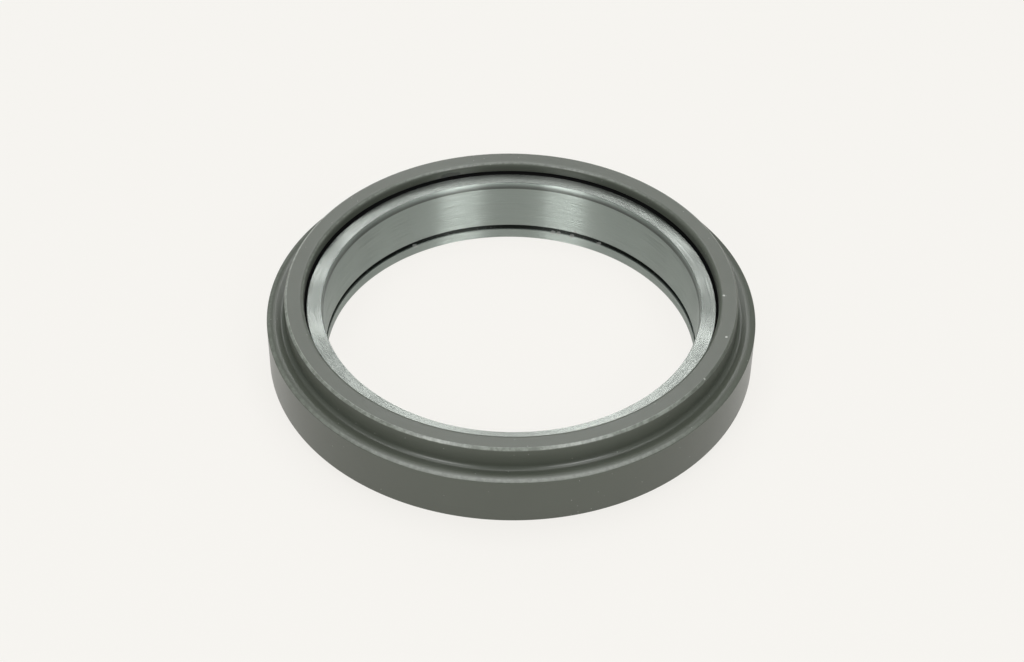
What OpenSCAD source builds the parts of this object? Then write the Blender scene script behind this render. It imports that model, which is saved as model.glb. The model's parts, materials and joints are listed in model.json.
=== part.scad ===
// Angular contact thrust ball bearing of the clutch release kind, modelled in millimetres.
// The origin is on the axis, at the face the bearing stands on, and +Z runs along the axis.
// The inner ring stands on its flange; the outer ring sits higher and turns on thirty balls.

/* [Inner ring] */
// Bore diameter of the inner ring
bore_d = 70; // [40:0.5:120]
// Height of the inner ring from the seat face to its upper face
inner_h = 13.8; // [12.6:0.1:14.6]
// Thickness of the inner ring between its bore and its upper land
land_wall = 3.05; // [2:0.05:5]
// Radial reach of the flange past the ball circle
flange_reach = 0.8; // [0.5:0.05:0.9]
// Height of the flange edge above the lowest point of the inner race
flange_rise = 0.05; // [0:0.01:0.1]
// Height of the turned groove's lower wall above the seat face
groove_z = 2.1; // [1.2:0.1:4]
// Width of the turned groove in the bore
groove_w = 1.2; // [0.4:0.05:1.5]
// Depth of the turned groove in the bore
groove_depth = 0.9; // [0.3:0.1:1.4]
// Radial width of the curved lead-in at the top of the bore
lead_w = 0.35; // [0.2:0.05:0.8]
// Height of that lead-in
lead_h = 1.35; // [0.8:0.05:2.4]

/* [Outer ring] */
// Radial distance from the ball circle to the outside of the outer ring
outer_reach = 5; // [4.2:0.1:8]
// Height of the outer ring's lower face above the seat face
outer_lift = 2.2; // [1.6:0.1:2.4]
// Height of the broad lower part of the outer ring, up to its shoulder
shoulder_h = 9.2; // [8.2:0.1:10]
// Height of the neck above the shoulder
neck_h = 4.8; // [4.2:0.1:7]
// Radial width of the shoulder, from the neck to the outside
neck_step = 3.5; // [2.4:0.1:4]
// Wall of the neck around the upper seal
neck_wall = 1.8; // [1.3:0.1:2]
// Thickness of the lip that overhangs the upper seal
lip_t = 2.1; // [1.4:0.1:2.6]
// Radius of the fillet between the neck and the shoulder
neck_fillet = 0.6; // [0.2:0.05:0.8]
// Radial width of the crowned part of the shoulder, at its outer edge
crown_w = 1.3; // [0.6:0.1:1.6]
// Drop of the crown where it meets the outside
crown_drop = 0.3; // [0.1:0.05:0.5]
// Radius of the rounded lower edge of the outer ring
edge_round = 0.35; // [0.15:0.05:0.6]
// Chamfer at the top outer edge of the neck
neck_chamfer = 0.35; // [0.15:0.05:0.8]
// Radius of the rounded top edge of the lip's bore
lip_round = 0.75; // [0.2:0.05:0.8]

/* [Balls and races] */
// Ball diameter
ball_d = 5.556; // [5:0.001:5.8]
// Number of balls
ball_count = 30; // [12:1:32]
// Radial distance from the upper land of the inner ring to the ball circle
ball_rise = 2.45; // [2.3:0.01:2.6]
// Height of the ball centres above the seat face
ball_z = 6.3; // [6.1:0.1:6.6]
// Contact angle, measured from a plane square to the axis
contact_angle = 45; // [40:1:50]
// Inner race radius as a share of the ball diameter
inner_conformity = 0.52; // [0.51:0.005:0.53]
// Outer race radius as a share of the ball diameter
outer_conformity = 0.53; // [0.52:0.005:0.54]

/* [Cage] */
// Thickness of the slanting cage web between the balls
web_t = 2.2; // [1.6:0.1:2.4]
// Reach of the cage horns past the ball centres
horn_reach = 1.35; // [0.9:0.05:1.6]
// Thickness of the cage rim above the ball pockets
rim_over = 1.7; // [1.2:0.1:2]
// Width of the slot that splits each web into two springy horns
horn_slot = 1; // [0.7:0.1:1.1]
// Depth of that slot
horn_slot_depth = 1.9; // [1:0.1:2.2]
// Diameter of the round root of that slot
horn_root_d = 1.4; // [1.2:0.1:1.6]
// Diameter of the moulding core holes in the cage rim
core_hole_d = 0.8; // [0.5:0.1:1]
// Depth of those holes
core_hole_depth = 1.2; // [0.6:0.1:1.6]

/* [Seals] */
// Height of the upper seal where it is pressed into the neck
upper_seal_h = 1.9; // [1.5:0.1:2.1]
// Thickness of the lower seal
lower_seal_t = 0.9; // [0.7:0.05:0.95]
// Depth of the lower seal's seat past the wall below the outer race
lower_seat_step = 0.55; // [0.3:0.05:0.8]
// Height of the lower seal above the outer ring's lower face
lower_seal_inset = 0.3; // [0.1:0.05:0.35]

/* [Clearances] */
// Gap between each ball and each race at the contact line
race_clear = 0.06; // [0.02:0.01:0.1]
// Gap between each ball and its cage pocket
pocket_clear = 0.12; // [0.05:0.01:0.2]
// Gap between the cage and the rings
cage_clear = 0.35; // [0.2:0.05:0.4]
// Gap between the lip of the outer ring and the land of the inner ring
lip_clear = 0.4; // [0.3:0.05:0.8]
// Gap between each seal lip and the inner ring
seal_clear = 0.07; // [0.03:0.01:0.1]
// Gap between each seal and its seat
seat_gap = 0.04; // [0.01:0.01:0.06]

/* [Hidden] */
$fn = 96;
// Overlap that keeps cutting shapes clear of the faces they cut
cut = 1;
// Small chamfers and rounds that break sharp edges
fine_edge = 0.2;
land_round = 0.15;
flange_round = 0.4;
// Angle between neighbouring balls
ball_step = 360 / ball_count;

ball_r = ball_d / 2;
bore_r = bore_d / 2;
land_r = bore_r + land_wall;
pitch_r = land_r + ball_rise;
flange_r = pitch_r + flange_reach;

// The race arcs, whose centres lie a little off the ball centres along the contact line
inner_race_r = inner_conformity * ball_d;
outer_race_r = outer_conformity * ball_d;
inner_race_shift = inner_race_r - ball_r - race_clear;
outer_race_shift = outer_race_r - ball_r - race_clear;
inner_race_centre = [
    pitch_r + inner_race_shift * cos(contact_angle),
    ball_z + inner_race_shift * sin(contact_angle)
];
outer_race_centre = [
    pitch_r - outer_race_shift * cos(contact_angle),
    ball_z - outer_race_shift * sin(contact_angle)
];
flange_top = inner_race_centre.y - inner_race_r + flange_rise;

outer_r = pitch_r + outer_reach;
neck_r = outer_r - neck_step;
lip_r = land_r + lip_clear;
neck_bore_r = neck_r - neck_wall;
lower_bore_r = outer_race_centre.x + outer_race_r;
lower_seat_r = lower_bore_r + lower_seat_step;
shoulder_z = outer_lift + shoulder_h;
top_z = shoulder_z + neck_h;
lip_z = top_z - lip_t;

pocket_r = ball_r + pocket_clear;
rim_inner_r = land_r + cage_clear;
rim_outer_r = neck_bore_r - cage_clear;
rim_top = ball_z + pocket_r + rim_over;

// Name of one ball, with two digits
function ball_name(i) = str("ball_", i < 10 ? "0" : "", i);

// A point of the cage section: along the web, and across it towards the outer race
function web_point(along, across) = [
    pitch_r - along * sin(contact_angle) + across * cos(contact_angle),
    ball_z + along * cos(contact_angle) + across * sin(contact_angle)
];

// Distance along the web at which one of its faces reaches a radius
function web_reach(radius, across) = (pitch_r + across * cos(contact_angle) - radius) / sin(contact_angle);

// A rectangle of a ring section, between two radii and two heights
module band(r_from, r_to, z_from, z_to) {
    translate([r_from, z_from]) square([r_to - r_from, z_to - z_from]);
}

// The sliver between a square corner and a rounded one; the corner is at the origin,
// and the section's material lies towards +X and +Y
module round_off(r) {
    difference() {
        translate([-cut, -cut]) square(r + cut);
        translate([r, r]) circle(r);
        translate([r, -2 * cut]) square([cut, r + 3 * cut]);
        translate([-2 * cut, r]) square([r + 3 * cut, cut]);
    }
}

// The sliver that a curved lead-in takes off such a corner: its arc leaves the face along Y smoothly,
// h away from the corner, and meets the face along X at a width of w
module lead_off(w, h) {
    r = (w * w + h * h) / (2 * w);
    difference() {
        translate([-cut, -cut]) square([w + cut, h + cut]);
        translate([r, h]) circle(r);
    }
}

// The round_off sliver kept inside the corner, which fills it as a fillet
module fill_in(r) {
    difference() {
        square(r);
        translate([r, r]) circle(r);
    }
}

// The triangle that a chamfer takes off a corner at the origin
module chamfer_off(c) {
    polygon([[-c, -c], [2 * c, -c], [-c, 2 * c]]);
}

module inner_ring_section() {
    difference() {
        union() {
            band(bore_r, land_r, 0, inner_h);
            band(bore_r, flange_r, 0, inner_race_centre.y);
        }
        translate(inner_race_centre) circle(inner_race_r);
        band(inner_race_centre.x, flange_r + cut, flange_top, inner_h);
        band(bore_r - cut, bore_r + groove_depth, groove_z, groove_z + groove_w);
        translate([bore_r, inner_h]) mirror([0, 1]) lead_off(lead_w, lead_h);
        translate([land_r, inner_h]) rotate(180) round_off(land_round);
        translate([flange_r, 0]) mirror([1, 0]) round_off(flange_round);
        translate([bore_r, 0]) chamfer_off(fine_edge);
    }
}

module outer_ring_section() {
    difference() {
        union() {
            band(lip_r, outer_r, outer_lift, shoulder_z);
            band(lip_r, neck_r, shoulder_z - cut, top_z);
            translate([neck_r, shoulder_z]) fill_in(neck_fillet);
        }
        translate(outer_race_centre) circle(outer_race_r);
        band(0, lower_bore_r, outer_lift - cut, outer_race_centre.y);
        band(0, neck_bore_r, outer_race_centre.y - cut, lip_z);
        band(0, lower_seat_r, outer_lift - cut, outer_lift + lower_seal_inset + lower_seal_t + seat_gap);
        translate([lower_seat_r, outer_lift]) chamfer_off(fine_edge);
        translate([outer_r, outer_lift]) mirror([1, 0]) round_off(edge_round);
        translate([outer_r, shoulder_z]) rotate(180) mirror([1, -1]) lead_off(crown_drop, crown_w);
        translate([neck_r, top_z]) rotate(180) chamfer_off(neck_chamfer);
        translate([lip_r, top_z]) mirror([0, 1]) round_off(lip_round);
        translate([lip_r, lip_z]) chamfer_off(fine_edge);
    }
}

// The web lies square to the contact line, and turns upright into the rim above the balls
module cage_section() {
    half = web_t / 2;
    polygon([
        web_point(-horn_reach, -half),
        web_point(-horn_reach, half),
        web_point(web_reach(rim_outer_r, half), half),
        [rim_outer_r, rim_top],
        [rim_inner_r, rim_top],
        web_point(web_reach(rim_inner_r, -half), -half)
    ]);
}

module upper_seal_section() {
    seat = neck_bore_r - seat_gap;
    top = lip_z - seat_gap;
    bottom = top - upper_seal_h;
    tip = land_r + seal_clear;
    root = lip_r + 0.25 * (seat - lip_r);
    polygon([
        [seat, bottom],
        [seat, top],
        [root, top],
        [tip, top - 0.55 * upper_seal_h],
        [tip, top - 0.7 * upper_seal_h],
        [root, bottom]
    ]);
}

module lower_seal_section() {
    seat = lower_seat_r - seat_gap;
    bottom = outer_lift + lower_seal_inset;
    top = bottom + lower_seal_t;
    tip = flange_r + seal_clear;
    root = tip + 0.3 * (seat - tip);
    polygon([
        [seat, bottom],
        [seat, top],
        [root, top],
        [tip, top - 0.3 * lower_seal_t],
        [tip, bottom + 0.2 * lower_seal_t],
        [root, bottom]
    ]);
}

// Places its children at the centre of ball i, with +X along the contact line
module at_ball(i) {
    rotate([0, 0, i * ball_step]) translate([pitch_r, 0, ball_z]) rotate([0, -contact_angle, 0]) children();
}

module inner_ring() {
    color("gainsboro") rotate_extrude() inner_ring_section();
}

module outer_ring() {
    color("dimgray") rotate_extrude() outer_ring_section();
}

// A slot through the web between two balls, open at the horn ends, with a wider round root
module horn_split() {
    root = horn_slot_depth - horn_reach - horn_root_d / 2;
    rotate([0, 90, 0]) translate([-root, 0, -web_t]) cylinder(d = horn_root_d, h = 2 * web_t);
    translate([-web_t, -horn_slot / 2, -horn_reach - cut]) cube([2 * web_t, horn_slot, root + horn_reach + cut]);
}

// A blind hole in the upper face of the rim, where the mould was cored
module core_hole() {
    translate([(rim_inner_r + rim_outer_r) / 2, 0, rim_top - core_hole_depth])
        cylinder(d = core_hole_d, h = core_hole_depth + cut);
}

module cage() {
    color("tan") difference() {
        rotate_extrude() cage_section();
        for (i = [1 : ball_count]) {
            at_ball(i) sphere(pocket_r);
            at_ball(i + 0.5) horn_split();
            rotate([0, 0, (i + 0.5) * ball_step]) core_hole();
        }
    }
}

module upper_seal() {
    color([0.08, 0.08, 0.08]) rotate_extrude() upper_seal_section();
}

module lower_seal() {
    color([0.08, 0.08, 0.08]) rotate_extrude() lower_seal_section();
}

module ball(i) {
    color("silver") at_ball(i) sphere(ball_r);
}

inner_ring();
outer_ring();
cage();
upper_seal();
lower_seal();
for (i = [1 : ball_count]) {
    ball(i);
}
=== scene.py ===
import json
import math

import bpy
from mathutils import Matrix, Vector


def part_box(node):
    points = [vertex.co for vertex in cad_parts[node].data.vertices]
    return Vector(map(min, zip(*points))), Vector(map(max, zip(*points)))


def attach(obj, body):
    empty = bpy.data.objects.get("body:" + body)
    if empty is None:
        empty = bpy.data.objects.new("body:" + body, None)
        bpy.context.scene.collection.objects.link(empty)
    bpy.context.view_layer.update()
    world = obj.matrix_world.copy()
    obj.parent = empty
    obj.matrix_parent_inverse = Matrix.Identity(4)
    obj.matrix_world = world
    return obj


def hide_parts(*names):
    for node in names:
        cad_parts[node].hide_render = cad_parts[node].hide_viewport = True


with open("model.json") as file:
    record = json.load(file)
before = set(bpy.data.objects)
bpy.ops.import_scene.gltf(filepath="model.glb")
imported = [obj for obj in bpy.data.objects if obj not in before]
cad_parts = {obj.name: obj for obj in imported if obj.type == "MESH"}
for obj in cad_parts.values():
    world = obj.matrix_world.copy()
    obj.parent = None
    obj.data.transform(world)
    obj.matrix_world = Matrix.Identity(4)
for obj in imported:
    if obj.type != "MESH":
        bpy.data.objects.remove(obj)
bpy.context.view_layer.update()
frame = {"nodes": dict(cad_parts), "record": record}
mounts = {m["name"]: m for m in frame["record"]["mounts"]}
mm = 0.001
print("frame loaded:", len(frame["nodes"]), "nodes")


# a node's output that takes plain arithmetic
class Wire:
    def __init__(self, finish, socket):
        self.finish = finish
        self.socket = socket

    # another output of the same node
    def output(self, name):
        return Wire(self.finish, self.socket.node.outputs[name])

    def __add__(self, other):
        return self.finish.math("ADD", self, other)

    def __radd__(self, other):
        return self.finish.math("ADD", other, self)

    def __sub__(self, other):
        return self.finish.math("SUBTRACT", self, other)

    def __rsub__(self, other):
        return self.finish.math("SUBTRACT", other, self)

    def __mul__(self, other):
        return self.finish.math("MULTIPLY", self, other)

    def __rmul__(self, other):
        return self.finish.math("MULTIPLY", other, self)

    def __truediv__(self, other):
        return self.finish.math("DIVIDE", self, other)

    def __rtruediv__(self, other):
        return self.finish.math("DIVIDE", other, self)

    def __pow__(self, other):
        return self.finish.math("POWER", self, other)

    def __rpow__(self, other):
        return self.finish.math("POWER", other, self)


# the nodes of one material, or of the world
class Finish:
    def __init__(self, owner):
        owner.use_nodes = True
        self.owner = owner
        self.tree = owner.node_tree
        self.tree.nodes.clear()

    # any node: its type, its settings, then the values or wires of its inputs
    def add(self, kind, settings=None, values=None, out=0):
        node = self.tree.nodes.new("ShaderNode" + kind)
        for key, value in (settings or {}).items():
            setattr(node, key, value)
        for key, value in (values or {}).items():
            socket = node.inputs[key]
            if isinstance(value, Wire):
                self.tree.links.new(value.socket, socket)
            else:
                socket.default_value = value
        return Wire(self, node.outputs[out]) if node.outputs else None

    def math(self, operation, *values):
        return self.add("Math", {"operation": operation}, dict(enumerate(values)))

    def vectorMath(self, operation, *vectors):
        return self.add("VectorMath", {"operation": operation}, dict(enumerate(vectors)))

    def vector(self, x, y, z):
        return self.add("CombineXYZ", {}, {"X": x, "Y": y, "Z": z})

    def split(self, vector):
        x = self.add("SeparateXYZ", {}, {"Vector": vector})
        return x, x.output("Y"), x.output("Z")

    def noise(self, vector, scale=1.0, detail=2.0, rough=0.5):
        return self.add("TexNoise", {}, {"Vector": vector, "Scale": scale, "Detail": detail, "Roughness": rough})

    # 0 below low, 1 above high
    def between(self, value, low, high):
        return self.add("MapRange", {"interpolation_type": "SMOOTHSTEP"},
                        {"Value": value, "From Min": low, "From Max": high})

    def inside(self, value, low, high, soft):
        above = self.between(value, low - soft, low + soft)
        return above * (1 - self.between(value, high - soft, high + soft))

    # 1 within about size millimetres of any of the points, softer in the outer part
    def near(self, spot, points, size, ragged):
        solidShare = 0.6
        total = 0.0
        for point in points:
            gap = self.add("VectorMath", {"operation": "DISTANCE"}, {0: spot, 1: point}, out="Value")
            total = total + (1 - self.between(gap + ragged, solidShare * size, size))
        return self.math("MINIMUM", total, 1.0)

    # a Mix node's sockets 6 and 7 are its two colours, and its output 2 is the mixed one
    def tint(self, factor, first, second):
        first, second = (colour if isinstance(colour, Wire) else (*colour, 1) for colour in (first, second))
        return self.add("Mix", {"data_type": "RGBA"}, {"Factor": factor, 6: first, 7: second}, out=2)

    # the place on the part, in millimetres
    def place(self):
        spot = self.add("TexCoord", out="Object")
        return self.add("VectorMath", {"operation": "SCALE"}, {0: spot, "Scale": 1 / mm})

    # height, radius and turns round the axis
    def ringPlace(self, spot):
        x, y, z = self.split(spot)
        return z, (x * x + y * y) ** 0.5, self.math("ARCTAN2", y, x) / math.tau

    # tilts the surface across the turning lines and never along them
    def tilted(self, lean):
        spot = self.add("NewGeometry", out="Position")
        facing = spot.output("Normal")
        around = self.vectorMath("NORMALIZE", self.vectorMath("CROSS_PRODUCT", (0, 0, 1), spot))
        across = self.vectorMath("CROSS_PRODUCT", facing, around)
        across = self.add("VectorMath", {"operation": "SCALE"}, {0: across, "Scale": lean})
        return self.vectorMath("NORMALIZE", self.vectorMath("ADD", facing, across))

    # depth is that of the fine relief, in metres
    def surface(self, sockets, relief=None, depth=0.0):
        if relief is not None:
            sockets["Normal"] = self.add("Bump", {}, {"Height": relief, "Distance": depth, "Strength": 1.0})
        return self.close(self.add("BsdfPrincipled", {}, sockets))

    def close(self, shader, kind="OutputMaterial"):
        self.add(kind, {}, {"Surface": shader})
        return self.owner


def arc(centre, radius, start, end, steps):
    points = []
    for i in range(steps + 1):
        angle = math.radians(start + (end - start) * i / steps)
        points.append((centre[0] + radius * math.cos(angle), centre[1] + radius * math.sin(angle)))
    return points


# a corner with a third number is rounded by it; plain points pass through
def roundedOutline(corners, steps=6, hold=0.03):
    outline = []
    count = len(corners)
    for i, corner in enumerate(corners):
        if len(corner) == 2:
            outline.append(corner)
            continue
        here = Vector(corner[:2])
        back = (Vector(corners[i - 1][:2]) - here).normalized()
        ahead = (Vector(corners[(i + 1) % count][:2]) - here).normalized()
        half = math.acos(max(-1, min(1, back.dot(ahead)))) / 2
        reach = corner[2] / math.tan(half)
        centre = here + (back + ahead).normalized() * (corner[2] / math.sin(half))
        first, last = here + back * reach, here + ahead * reach
        outline.append(tuple(first + back * hold))  # holds the flat face flat
        a, b = first - centre, last - centre
        swing = math.atan2(a.x * b.y - a.y * b.x, a.dot(b))
        for k in range(steps + 1):
            outline.append(tuple(centre + Matrix.Rotation(swing * k / steps, 2) @ a))
        outline.append(tuple(last + ahead * hold))
    return outline


# the arc that leaves one face smoothly and meets the next after going length along and width across
def leadArc(width, length, steps=12):
    radius = (width ** 2 + length ** 2) / (2 * width)
    sweep = math.asin(length / radius)
    return [(radius - radius * math.cos(sweep * k / steps), radius * math.sin(sweep * k / steps))
            for k in range(steps + 1)]


turning = {
    "segments": 720,
    "raceSteps": 28,
    "sharpAngle": 32,  # degrees between faces that keep a crisp edge
}


# spins a closed outline, in millimetres, round the axis
def lathe(name, outline, s):
    count = len(outline)
    vertices = []
    for i in range(s["segments"]):
        angle = math.tau * i / s["segments"]
        cosine, sine = math.cos(angle), math.sin(angle)
        vertices += [(r * cosine * mm, r * sine * mm, z * mm) for r, z in outline]
    faces = []
    for i in range(s["segments"]):
        here, ahead = i * count, (i + 1) % s["segments"] * count
        for k in range(count):
            n = (k + 1) % count
            faces.append((here + k, ahead + k, ahead + n, here + n))
    mesh = bpy.data.meshes.new(name)
    mesh.from_pydata(vertices, [], faces)
    mesh.shade_smooth()
    mesh.set_sharp_from_angle(angle=math.radians(s["sharpAngle"]))
    piece = bpy.data.objects.new(name, mesh)
    bpy.context.scene.collection.objects.link(piece)
    return piece


# the inner ring, in millimetres
innerRing = {
    "bore": mounts["bore"]["dims"]["r_mm"],
    "wall": 3.05,
    "flangeTop": 3.498,
    "raceCentre": (40.5366, 6.3366),
    "raceRadius": 2.8891,
    "grooveLow": 2.1,
    "grooveHigh": 3.3,
    "grooveDepth": 0.9,
    "leadWidth": 0.35,
    "leadLength": 1.35,
    "landRound": 0.15,
    "flangeRound": 0.4,
    "boreChamfer": 0.2,
}


def innerRingOutline(s):
    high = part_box("inner_ring")[1]
    height, flange = high.z / mm, high.x / mm
    bore, land, grooveWall = s["bore"], s["bore"] + s["wall"], s["bore"] + s["grooveDepth"]
    centre, radius = s["raceCentre"], s["raceRadius"]
    flangeReach = math.sqrt(radius ** 2 - (centre[1] - s["flangeTop"]) ** 2)
    flangeAngle = -90 + math.degrees(math.asin(flangeReach / radius))
    landAngle = -180 - math.degrees(math.acos((centre[0] - land) / radius))
    lead = [(bore + across, height - s["leadLength"] + along)
            for across, along in leadArc(s["leadWidth"], s["leadLength"])]
    return roundedOutline([
        (bore + s["boreChamfer"], 0),
        (flange, 0, s["flangeRound"]),
        (flange, s["flangeTop"]),
        *arc(centre, radius, flangeAngle, landAngle, turning["raceSteps"]),
        (land, height, s["landRound"]),
        *reversed(lead),
        (bore, s["grooveHigh"]),
        (grooveWall, s["grooveHigh"]),
        (grooveWall, s["grooveLow"]),
        (bore, s["grooveLow"]),
        (bore, s["boreChamfer"]),
    ])


# the outer ring, in millimetres
outerRing = {
    "neck": mounts["neck"]["dims"]["r_mm"],
    "shoulder": mounts["shoulder_face"]["pos_m"][2] / mm,
    "shoulderRise": 0.42,  # the shoulder swells this much above the mount's face
    "shoulderRound": 1.2,
    "reliefRadius": 43.9,  # inside it the shoulder falls to the neck
    "reliefDrop": 0.55,
    "neckFillet": 0.75,
    "crownDrop": 0.33,
    "crownWidth": 1.4,
    "crownEdge": 0.15,
    "edgeRound": 0.15,
    "neckChamfer": 0.35,
    "lipRadius": 38.45,
    "lipHeight": 14.1,
    "lipRound": 0.75,
    "neckBore": 40.2,
    "raceCentre": (40.4246, 6.2246),
    "raceRadius": 2.9447,
    "sealSeatRadius": 43.9193,
    "sealSeatTop": 3.44,
    "fineEdge": 0.2,
}


def outerRingOutline(s):
    low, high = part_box("outer_ring")
    bottom, top, outside = low.z / mm, high.z / mm, high.x / mm
    shoulder, neck, fine = s["shoulder"] + s["shoulderRise"], s["neck"], s["fineEdge"]
    lip, lipFoot = s["lipRadius"], s["lipHeight"]
    seat, seatTop = s["sealSeatRadius"], s["sealSeatTop"]
    centre, radius = s["raceCentre"], s["raceRadius"]
    boreAngle = math.degrees(math.acos((s["neckBore"] - centre[0]) / radius))
    crown = [(outside - s["crownWidth"] + along, shoulder - across)
             for across, along in leadArc(s["crownDrop"], s["crownWidth"])]
    return roundedOutline([
        (outside, bottom, s["edgeRound"]),
        (*crown[-1], s["crownEdge"]),
        *reversed(crown[:-1]),
        (s["reliefRadius"], shoulder, s["shoulderRound"]),
        (neck, shoulder - s["reliefDrop"], s["neckFillet"]),
        (neck, top - s["neckChamfer"]),
        (neck - s["neckChamfer"], top),
        (lip, top, s["lipRound"]),
        (lip, lipFoot + fine),
        (lip + fine, lipFoot),
        (s["neckBore"], lipFoot),
        *arc(centre, radius, boreAngle, 0, turning["raceSteps"]),
        (centre[0] + radius, seatTop),
        (seat, seatTop),
        (seat, bottom + fine),
        (seat + fine, bottom),
    ])


innerPiece = lathe("inner_ring_turned", innerRingOutline(innerRing), turning)
outerPiece = lathe("outer_ring_turned", outerRingOutline(outerRing), turning)
for piece, node, body, slot in ((innerPiece, "inner_ring", "inner_race", "ground_steel"),
                                (outerPiece, "outer_ring", "outer_race", "dark_steel")):
    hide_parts(node)
    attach(piece, body)
print("rings turned:", [len(p.data.polygons) for p in (innerPiece, outerPiece)], "faces")


acrossLines = 0.25  # a quarter turn: highlights stretch across the turning lines

# radii, heights and places in millimetres; a pair is where a change begins and ends
darkFinish = {
    "dark": (0.052, 0.0574, 0.0454),
    "light": (0.062, 0.0683, 0.0544),
    # pale colour of the rubbed edges: real wear, and a painted highlight on the chamfer, shoulder edge and lip
    "worn": (0.22, 0.235, 0.21),
    "dust": (0.42, 0.42, 0.4),
    "nick": (0.012, 0.013, 0.011),
    "roughness": 0.31,
    "cloudRoughness": 0.08,
    "grainRoughness": 0.06,
    "dustRoughness": 0.2,
    "reliefDepth": 0.0025 * mm,
    "anisotropy": 0.5,
    "ior": 1.52,
    "cloudScale": 0.12,
    "cloudShare": 0.6,  # the streaks have the rest
    "grainScale": 4.5,
    "grainBreakup": 0.65,
    "streakTurns": 14.0,
    "streakScale": 5.0,
    "streakBreakup": 0.6,
    "grainRelief": 0.7,
    "streakRelief": 0.3,
    "dustRelief": 1.5,
    "chamferRadius": (41.55, 42.1),
    "chamferHeight": (15.6, 15.8),
    "chamferSoft": 0.05,
    "chamferWear": 1.15,
    "shoulderRadius": (44.6, 45.0),
    "shoulderHeight": (11.46, 11.55),
    "shoulderWear": 0.5,
    "lipRadius": (38.6, 39.0),
    "lipHeight": (15.7, 16.1),
    "patchScale": 1.1,
    "patchEdge": (0.38, 0.62),
    "patchWear": (0.3, 0.7),  # the least and the most
    "freshSide": (0.6, 0.9),  # cosine of the angle from +X
    "freshShare": 0.85,
    "speckScale": 0.9,
    "speckSize": (0.045, 0.09),
    "speckPick": (0.72, 0.74),  # the share of cells without a speck
    "speckStrength": 0.7,
    "paleMarks": [(34.5, -23.7, 16.2), (34.3, -24.3, 16.2), (39.0, -12.5, 16.2), (39.3, -1.0, 16.2)],
    "paleMarkSize": 0.28,
    "darkMarks": [(24.8, -29.8, 16.0), (-33.9, -18.8, 16.0)],
    "darkMarkSize": 0.4,
    "lipStain": [(-13.7, 35.9, 14.5), (-13.0, 36.2, 14.6), (-12.4, 36.4, 14.6), (-11.8, 36.6, 14.5),
                 (-11.1, 36.8, 14.4)],
    "lipStainSize": 0.8,
    "markRagged": 0.25,
    "markStrength": 0.8,
}


def darkSteel(s):
    f = Finish(bpy.data.materials.new("dark satin steel"))
    spot = f.place()
    z, radius, angle = f.ringPlace(spot)
    cloud = f.noise(spot, s["cloudScale"], 3.0)
    grain = f.noise(spot, s["grainScale"], 3.0, s["grainBreakup"])
    streak = f.noise(f.vector(angle * s["streakTurns"], z * s["streakScale"], radius * s["streakScale"]),
                     1.0, 3.0, s["streakBreakup"])
    shade = f.tint(s["cloudShare"] * cloud + (1 - s["cloudShare"]) * streak, s["dark"], s["light"])

    # rubbed wear and painted highlight: neck chamfer, shoulder edge and the rounded inner edge of the thrust face
    chamfer = f.inside(radius, *s["chamferRadius"], s["chamferSoft"]) * f.between(z, *s["chamferHeight"])
    shoulder = f.between(radius, *s["shoulderRadius"]) * f.between(z, *s["shoulderHeight"])
    lip = (1 - f.between(radius, *s["lipRadius"])) * f.between(z, *s["lipHeight"])
    rubbedAndHighlit = s["chamferWear"] * chamfer + s["shoulderWear"] * shoulder + lip
    # the wear and painted highlight of the edges are weaker on the +X side
    weakerSide = f.between(f.math("COSINE", angle * math.tau), *s["freshSide"])
    least, most = s["patchWear"]
    patch = f.between(f.noise(spot, s["patchScale"], 3.0, s["streakBreakup"]), *s["patchEdge"])
    wearAndHighlightMask = rubbedAndHighlit * (1 - s["freshShare"] * weakerSide) * (least + (most - least) * patch)
    # paints the rubbed edges paler: partly wear, partly a painted highlight
    shade = f.tint(wearAndHighlightMask, shade, s["worn"])

    # pale specks at random, then the marks that have a place
    speck = f.add("TexVoronoi", {}, {"Vector": spot, "Scale": s["speckScale"], "Randomness": 1.0})
    pick = f.add("SeparateColor", {}, {"Color": speck.output("Color")}, out="Red")
    dust = (1 - f.between(speck, *s["speckSize"])) * f.between(pick, *s["speckPick"])
    shade = f.tint(dust * s["speckStrength"], shade, s["dust"])
    ragged = s["markRagged"] * (grain - 0.5)
    nick = (f.near(spot, s["darkMarks"], s["darkMarkSize"], ragged)
            + f.near(spot, s["lipStain"], s["lipStainSize"], ragged))
    shade = f.tint(nick * s["markStrength"], shade, s["nick"])
    pale = f.near(spot, s["paleMarks"], s["paleMarkSize"], ragged)
    shade = f.tint(pale * s["markStrength"], shade, s["dust"])

    roughness = (s["roughness"] + s["cloudRoughness"] * (cloud - 0.5) + s["grainRoughness"] * (grain - 0.5)
                 + s["dustRoughness"] * dust)
    relief = s["grainRelief"] * grain + s["streakRelief"] * streak + s["dustRelief"] * dust
    return f.surface({"Base Color": shade, "Metallic": 0.0, "Roughness": roughness, "IOR": s["ior"],
                      "Anisotropic": s["anisotropy"], "Anisotropic Rotation": acrossLines},
                     relief, s["reliefDepth"])


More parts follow.
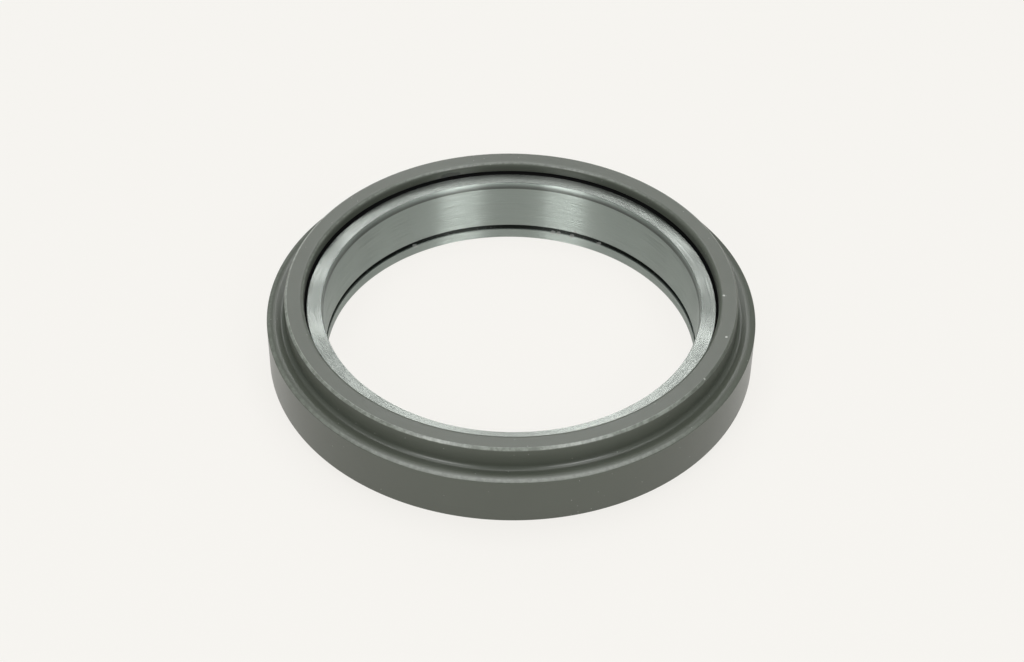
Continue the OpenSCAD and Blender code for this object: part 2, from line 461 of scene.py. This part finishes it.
# radii, heights and places in millimetres; a pair is where a change begins and ends
groundFinish = {
    "band": (0.235, 0.25, 0.235),
    "bore": (0.36, 0.4, 0.372),
    # darker colour of the lead-in: painted shade
    "unground": (0.13, 0.14, 0.13),
    "line": (0.2, 0.21, 0.19),
    # near black: painted shade inside the bore's groove
    "groove": (0.05, 0.055, 0.05),
    "grit": (0.3, 0.31, 0.29),
    "bandRoughness": 0.19,
    "boreRoughness": 0.36,
    "smearRoughness": 0.06,
    "lineRoughness": 0.05,
    "grooveRoughness": 0.2,
    "anisotropy": 1.0,
    "bandHeight": (13.7, 13.78),  # the bore's finish ends here and the upper face's begins
    "leadFoot": (12.42, 12.48),
    "leadTop": (12.7, 13.75),
    "lineScale": 14.0,
    "lineTurns": 6.0,
    "lineEdge": (0.3, 0.7),
    "lineStrength": 0.15,
    "smearTurns": 40.0,
    "smearScale": (0.3, 0.12),  # across the radius, then along the height
    "raggedScale": 2.2,
    "grooveHeight": (2.05, 3.32),
    "grooveSoft": 0.04,
    "grooveRagged": 0.2,
    "grooveFloor": (35.95, 36.1),
    "grooveMouth": (35.0, 35.5),
    "gritMarks": [(8.2, 34.3, 2.1), (9.3, 34.0, 2.1), (12.0, 33.2, 2.1), (12.6, 32.7, 3.3), (17.3, 30.8, 2.1),
                  (-19.5, 29.4, 2.1)],
    "gritSize": 0.6,
    "gritRagged": 0.5,
    "fineScale": 60.0,
    "fineTurns": 24.0,
    "scratchScale": 12.0,
    "scratchTurns": 40.0,
    "scratchTilt": 0.15,
    "boreTilt": 5.0,
    "bandTilt": 1.5,
    "bandTiltShare": 0.2,  # of it at front and back, all of it at the two sides
    "bandSides": (0.05, 0.5),  # squared cosine of the angle from the X axis
    "bandDish": 0.01,
}


def groundSteel(s):
    f = Finish(bpy.data.materials.new("ground bearing steel"))
    spot = f.place()
    z, radius, angle = f.ringPlace(spot)

    # noise drawn out round the axis, as turning and grinding leave it
    def turned(scale, turns, detail):
        return f.noise(f.vector(radius * scale, z * scale, angle * turns), 1.0, detail)

    inBore = 1 - f.between(z, *s["bandHeight"])
    lines = turned(s["lineScale"], s["lineTurns"], 3.0)
    smearAcross, smearAlong = s["smearScale"]
    smear = f.noise(f.vector(angle * s["smearTurns"], z * smearAlong, radius * smearAcross), 1.0, 2.0)
    shade = f.tint(inBore, s["band"], s["bore"])
    # painted shade: the lead-in from the bore up to the upper face is coloured darker, most near the bore
    lead = f.between(z, *s["leadFoot"]) * (1 - f.between(z, *s["leadTop"]))
    shade = f.tint(lead, shade, s["unground"])
    shade = f.tint(f.between(lines, *s["lineEdge"]) * s["lineStrength"], shade, s["line"])

    ragged = f.noise(spot, s["raggedScale"]) - 0.5
    # painted shade: the inside of the bore's groove is coloured near black
    groove = (f.inside(z + s["grooveRagged"] * ragged, *s["grooveHeight"], s["grooveSoft"])
              * (1 - f.between(radius, *s["grooveFloor"])))
    shade = f.tint(groove * f.between(radius, *s["grooveMouth"]), shade, s["groove"])
    grit = f.near(spot, s["gritMarks"], s["gritSize"], s["gritRagged"] * ragged)
    shade = f.tint(grit, shade, s["grit"])

    # the finest lines are too small to see one by one, so they only spread the light across them
    fine = turned(s["fineScale"], s["fineTurns"], 1.0) - 0.5
    scratch = turned(s["scratchScale"], s["scratchTurns"], 2.0) - 0.5
    side = f.between(f.math("COSINE", angle * math.tau) ** 2.0, *s["bandSides"])
    bandTilt = s["bandTilt"] * (s["bandTiltShare"] + (1 - s["bandTiltShare"]) * side)
    tilt = bandTilt + inBore * (s["boreTilt"] - bandTilt)
    normal = f.tilted(fine * tilt + scratch * s["scratchTilt"] + (1 - inBore) * s["bandDish"])

    roughness = (s["bandRoughness"] + inBore * (s["boreRoughness"] - s["bandRoughness"])
                 + s["smearRoughness"] * (smear - 0.5) + s["lineRoughness"] * (lines - 0.5)
                 + s["grooveRoughness"] * groove)
    return f.surface({"Base Color": shade, "Metallic": 1 - grit, "Roughness": roughness, "Normal": normal,
                      "Anisotropic": s["anisotropy"], "Anisotropic Rotation": acrossLines})


# the pieces inside: plain finishes with a slight grain
hiddenFinish = {
    "seal rubber": {"colour": (0.004, 0.004, 0.004), "roughness": 0.8, "metallic": 0.0, "ior": 1.15},
    "cage polyamide": {"colour": (0.62, 0.55, 0.4), "roughness": 0.45, "metallic": 0.0, "ior": 1.45},
    "polished ball steel": {"colour": (0.7, 0.7, 0.7), "roughness": 0.08, "metallic": 1.0, "ior": 1.45},
}


def plain(name, s, darker=0.85, paler=1.1, grainScale=6.0, grainRoughness=0.1, reliefDepth=0.003 * mm):
    f = Finish(bpy.data.materials.new(name))
    grain = f.noise(f.place(), grainScale, 3.0)
    shade = f.tint(grain, [c * darker for c in s["colour"]], [c * paler for c in s["colour"]])
    return f.surface({"Base Color": shade, "Metallic": s["metallic"], "IOR": s["ior"],
                      "Roughness": s["roughness"] + grainRoughness * grain}, grain, reliefDepth)


darkMaterial = darkSteel(darkFinish)
groundMaterial = groundSteel(groundFinish)
rubberMaterial, cageMaterial, ballMaterial = (plain(name, s) for name, s in hiddenFinish.items())
nodeMaterials = {
    "inner_ring": groundMaterial,
    "outer_ring": darkMaterial,
    "upper_seal": rubberMaterial,
    "lower_seal": rubberMaterial,
    "cage": cageMaterial,
}
innerPiece.data.materials.append(groundMaterial)
outerPiece.data.materials.append(darkMaterial)
for name, node in frame["nodes"].items():
    node.material_slots[0].material = nodeMaterials.get(name, ballMaterial)
print("finishes set")


studio = {
    "groundColour": (0.922, 0.905, 0.871),
    "groundSize": 6.0,
    "groundGlow": 0.97,
    "groundGlowShare": 0.94,  # the rest is lit, so that it keeps the shadow
    "worldColour": (0.93, 1.0, 0.97),
    "horizonLevel": 0.22,
    "zenithLevel": 0.45,
    "boxDistance": 0.9,
}


# 1 for camera, mirror and glass rays, which see the pale ground as it is meant to look
def seenRays(f):
    camera = f.add("LightPath", out="Is Camera Ray")
    seen = camera + camera.output("Is Glossy Ray") + camera.output("Is Transmission Ray")
    return f.math("MINIMUM", seen, 1.0)


def makeGround(s):
    mesh = bpy.data.meshes.new("ground")
    half = s["groundSize"] / 2
    mesh.from_pydata([(-half, -half, 0), (half, -half, 0), (half, half, 0), (-half, half, 0)], [], [(0, 1, 2, 3)])
    ground = bpy.data.objects.new("ground", mesh)
    bpy.context.scene.collection.objects.link(ground)
    f = Finish(bpy.data.materials.new("pale ground"))
    colour = (*s["groundColour"], 1)
    lit = f.add("BsdfDiffuse", {}, {"Color": colour})
    glow = f.add("Emission", {}, {"Color": colour, "Strength": s["groundGlow"]})
    mixed = f.add("MixShader", {}, {0: seenRays(f) * s["groundGlowShare"], 1: lit, 2: glow})
    mesh.materials.append(f.close(mixed))


# a plain room: paler overhead than at the horizon
def makeWorld(s):
    world = bpy.data.worlds.new("studio")
    bpy.context.scene.world = world
    f = Finish(world)
    up = f.split(f.add("TexCoord", out="Generated"))[2]
    level = f.add("MapRange", {"interpolation_type": "SMOOTHSTEP"},
                  {"Value": up, "From Min": 0.0, "From Max": 1.0,
                   "To Min": s["horizonLevel"], "To Max": s["zenithLevel"]})
    f.close(f.add("Background", {}, {"Color": (*s["worldColour"], 1), "Strength": level}), "OutputWorld")


# name, then in degrees azimuth from the camera, elevation, width and height, then level (1 is white)
# and lean, in degrees round the box's own ray; the panes are what the inner ring's upper face mirrors
softBoxes = [
    ("right front box", 33, 38, 19, 20, 9.6, 0),
    ("left front box", -33, 38, 18.5, 20, 9.8, 0),
    ("overhead box", 180, 82, 50, 30, 4.5, 0),
    ("back panel", 180, 56, 12, 26, 1.45, 0),
    ("pane 1", 186.0, 29.9, 15.6, 3.6, 3.2, 118),
    ("pane 2", 189.1, 36.5, 13.3, 3.2, 2.6, 144),
    ("pane 3", 191.3, 42.6, 13.3, 2.6, 6, 172),
    ("pane 4", 192.4, 48.5, 14.8, 3.2, 4, -163),
    ("pane 5", 167.6, 50.4, 15.5, 3.0, 4.6, -24),
    ("pane 6", 168.5, 43.6, 13.5, 3.2, 6.5, 4),
    ("pane 7", 171.2, 36.1, 13.4, 4.4, 1.8, 38),
    ("pane 8", 173.9, 30.1, 15.4, 3.4, 1.2, 61),
]


def softBox(name, azimuth, elevation, width, height, level, lean, distance):
    data = bpy.data.lights.new(name, "AREA")
    data.shape = "RECTANGLE"
    data.size = 2 * distance * math.tan(math.radians(width / 2))
    data.size_y = 2 * distance * math.tan(math.radians(height / 2))
    data.energy = level * math.pi * data.size * data.size_y
    lamp = bpy.data.objects.new(name, data)
    a, e = math.radians(azimuth), math.radians(elevation)
    back = Vector((math.sin(a) * math.cos(e), -math.cos(a) * math.cos(e), math.sin(e)))
    lamp.location = back * distance
    facing = (-back).to_track_quat("-Z", "Y").to_matrix()
    lamp.rotation_euler = (facing @ Matrix.Rotation(math.radians(lean), 3, "Z")).to_euler()
    bpy.context.scene.collection.objects.link(lamp)


view = {
    "focalPixels": 2119.55,
    "imageWidth": 1024,
    "sensor": 36.0,
    "distance": 408.49 * mm,
    "elevation": 41.742,
    "roll": 0.778,
    "aim": (0.185 * mm, 6.486 * mm, 0),
    "clip": (0.01, 20),
}


def makeCamera(s):
    data = bpy.data.cameras.new("camera")
    data.sensor_width = s["sensor"]
    data.lens = s["focalPixels"] / s["imageWidth"] * s["sensor"]
    data.clip_start, data.clip_end = s["clip"]
    camera = bpy.data.objects.new("camera", data)
    e, roll = math.radians(s["elevation"]), math.radians(s["roll"])
    back = Vector((0, -math.cos(e), math.sin(e)))
    right = Vector((1, 0, 0))
    up = back.cross(right)
    side = right * math.cos(roll) + up * math.sin(roll)
    top = up * math.cos(roll) - right * math.sin(roll)
    turn = Matrix((side, top, back)).transposed().to_4x4()
    camera.matrix_world = Matrix.Translation(Vector(s["aim"]) + back * s["distance"]) @ turn
    bpy.context.scene.collection.objects.link(camera)
    bpy.context.scene.camera = camera


makeGround(studio)
makeWorld(studio)
makeCamera(view)
for box in softBoxes:
    softBox(*box, studio["boxDistance"])
bpy.context.scene.view_settings.view_transform = "Standard"
print("studio ready")
